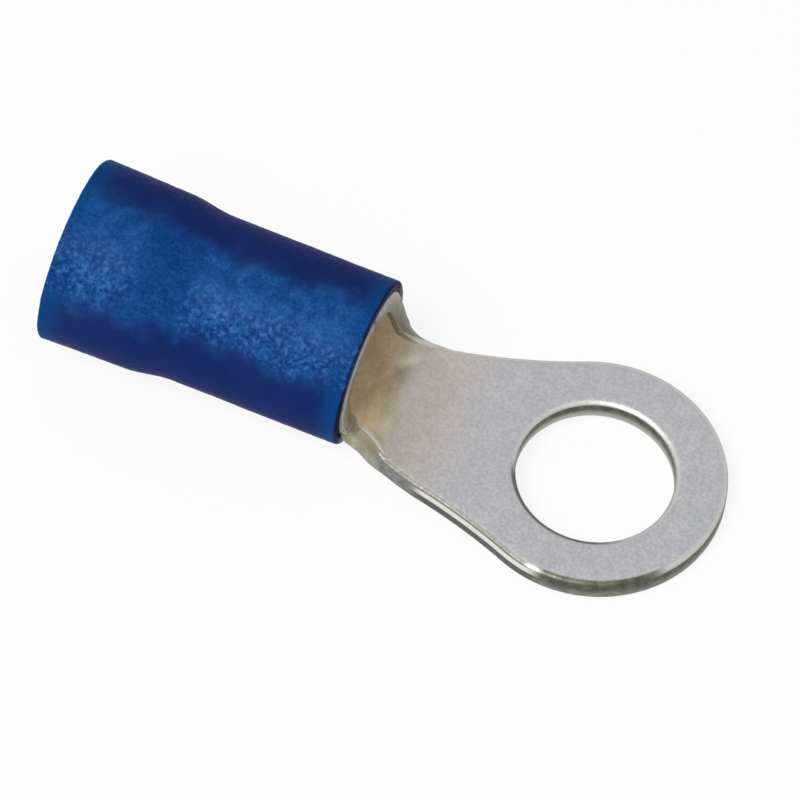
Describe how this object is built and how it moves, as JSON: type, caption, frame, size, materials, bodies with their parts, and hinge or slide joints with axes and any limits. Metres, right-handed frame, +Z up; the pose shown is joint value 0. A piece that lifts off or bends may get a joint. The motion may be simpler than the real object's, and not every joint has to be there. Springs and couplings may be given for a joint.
{
  "type": "insulated ring terminal",
  "caption": "Insulated ring terminal: a tin-plated copper ring tongue and rolled wire barrel in a flared blue PVC sleeve, for crimping a wire and bolting it to an M5 stud.",
  "frame": {"origin": "centre of the stud hole on the tongue's lower face", "axes": "+X along the tongue from the wire entry towards the ring's tip, +Z up through the stud hole on the side the throat's wings rise, +Y to the left of +X"},
  "size_m": [0.0233, 0.0088, 0.0064],
  "materials": {
    "tinned_copper": "matte tin plate over copper, fine sandy mottling, rounded stamped edges",
    "blue_pvc": "satin PVC with a fine pebbled grain"
  },
  "bodies": {
    "root": {"terminal_body": "tinned_copper", "insulating_sleeve": "blue_pvc"}
  },
  "joints": []
}
